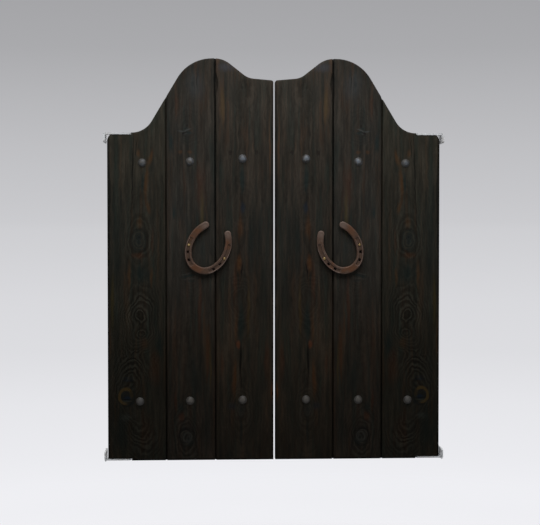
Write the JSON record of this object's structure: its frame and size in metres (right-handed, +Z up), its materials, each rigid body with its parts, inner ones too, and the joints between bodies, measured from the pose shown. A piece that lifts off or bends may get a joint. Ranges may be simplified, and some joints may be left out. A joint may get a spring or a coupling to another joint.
{
  "type": "pair of cafe swinging doors",
  "caption": "Pair of rustic double-acting cafe doors in dark plank wood with an S-curved top, a horseshoe on each leaf, rear battens and sprung pivots in jamb brackets.",
  "frame": {"origin": "on the left jamb's face, on the screw line of the left lower bracket, in the vertical plane that holds both pivot axes", "axes": "+X across the doorway from the left jamb to the right one, +Y to the rear (the battens' side), +Z up"},
  "size_m": [0.8445, 0.08, 1],
  "materials": {
    "plank_wood": "weathered dark stain with knots and open grain",
    "batten_wood": "weathered dark stain",
    "bolt_steel": "dull forged steel, rubbed bright at the crown",
    "zinc_steel": "dull zinc plate",
    "spring_steel": "oiled",
    "bearing_bronze": "plain turned bronze",
    "rusty_iron": "forged, dry tan-brown rust",
    "nail_brass": "worn brass",
    "bracket_paint": "satin pale grey, like the jambs"
  },
  "bodies": {
    "doorway_fittings": {"left_bottom_spindle": "spring_steel", "left_thrust_washer": "bearing_bronze", "left_top_pin": "spring_steel", "left_lower_jamb_bracket": "bracket_paint", "left_upper_jamb_bracket": "bracket_paint", "right_bottom_spindle": "spring_steel", "right_thrust_washer": "bearing_bronze", "right_top_pin": "spring_steel", "right_lower_jamb_bracket": "bracket_paint", "right_upper_jamb_bracket": "bracket_paint"},
    "left_leaf": {"left_outer_plank": "plank_wood", "left_middle_plank": "plank_wood", "left_inner_plank": "plank_wood", "left_lower_batten": "batten_wood", "left_upper_batten": "batten_wood", "left_carriage_bolts": "bolt_steel", "left_flange_nuts": "zinc_steel", "left_horseshoe": "rusty_iron", "left_horseshoe_nails": "nail_brass", "left_spring_barrel": "zinc_steel", "left_flange_screws": "zinc_steel", "left_torsion_spring": "spring_steel", "left_top_bush": "bearing_bronze"},
    "right_leaf": {"right_outer_plank": "plank_wood", "right_middle_plank": "plank_wood", "right_inner_plank": "plank_wood", "right_lower_batten": "batten_wood", "right_upper_batten": "batten_wood", "right_carriage_bolts": "bolt_steel", "right_flange_nuts": "zinc_steel", "right_horseshoe": "rusty_iron", "right_horseshoe_nails": "nail_brass", "right_spring_barrel": "zinc_steel", "right_flange_screws": "zinc_steel", "right_torsion_spring": "spring_steel", "right_top_bush": "bearing_bronze"}
  },
  "joints": [
    {"name": "left_leaf_swing", "type": "hinge", "parent": "doorway_fittings", "child": "left_leaf", "pos_m": [0.053, 0, 0], "axis": [0, 0, 1], "range_deg": [-90, 90], "stiffness_Nm_per_rad": 3, "deforming": ["left_torsion_spring"]},
    {"name": "right_leaf_swing", "type": "hinge", "parent": "doorway_fittings", "child": "right_leaf", "pos_m": [0.7915, 0, 0], "axis": [0, 0, 1], "range_deg": [-90, 90], "stiffness_Nm_per_rad": 3, "deforming": ["right_torsion_spring"]}
  ]
}
